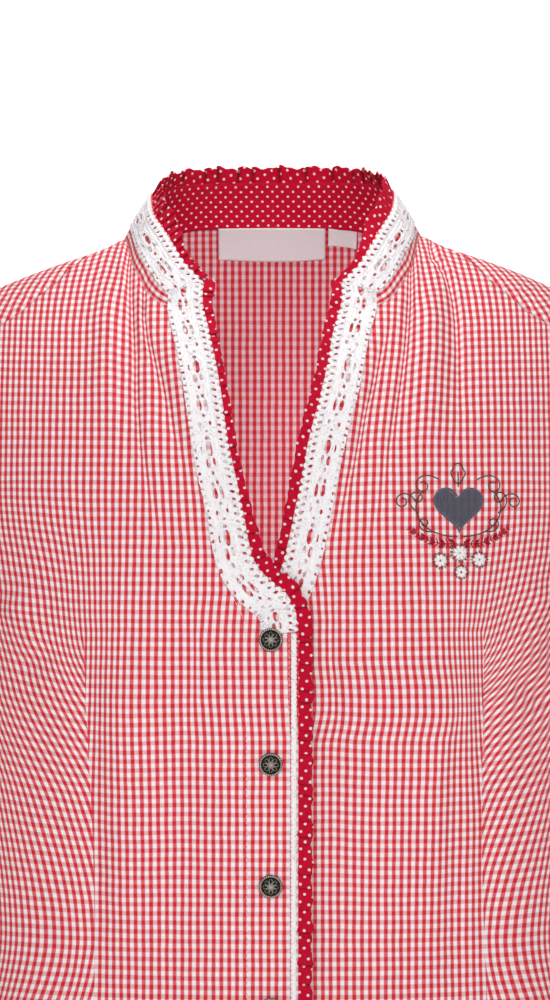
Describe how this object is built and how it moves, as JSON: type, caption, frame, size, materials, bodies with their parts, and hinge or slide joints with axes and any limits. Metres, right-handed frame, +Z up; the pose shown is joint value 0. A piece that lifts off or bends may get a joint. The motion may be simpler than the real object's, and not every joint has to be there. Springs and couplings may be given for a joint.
{
  "type": "dirndl blouse",
  "caption": "Checked cotton blouse with a deep V neck, stand collar, dotted ruffles, bobbin lace edging, short sleeves and a buttoned front, shaped as if worn.",
  "frame": {"origin": "middle of the neck at the height of the shoulders, where the wearer's shoulders hold the garment", "axes": "+Z up, the front faces -Y, +X towards the wearer's left side"},
  "size_m": [0.652, 0.2288, 0.6429],
  "materials": {
    "gingham_cotton": "plain-woven cotton, red and white check",
    "dotted_cotton": "plain-woven cotton, deep red with small white dots",
    "white_lace": "white cotton bobbin lace",
    "dark_metal": "darkened cast metal with brighter worn edges",
    "label_tape": "woven white tape, unlettered"
  },
  "bodies": {
    "root": {"front_right": "gingham_cotton", "front_left": "gingham_cotton", "back": "gingham_cotton", "sleeve_right": "gingham_cotton", "sleeve_left": "gingham_cotton", "collar_stand": "gingham_cotton", "collar_facing": "dotted_cotton", "ruffle_collar": "dotted_cotton", "ruffle_right": "dotted_cotton", "ruffle_left": "dotted_cotton", "lace_right": "white_lace", "lace_left": "white_lace", "placket_trim": "white_lace", "button_1": "dark_metal", "button_2": "dark_metal", "button_3": "dark_metal", "button_4": "dark_metal", "button_5": "dark_metal", "neck_label": "label_tape", "size_tag": "label_tape"}
  },
  "joints": []
}
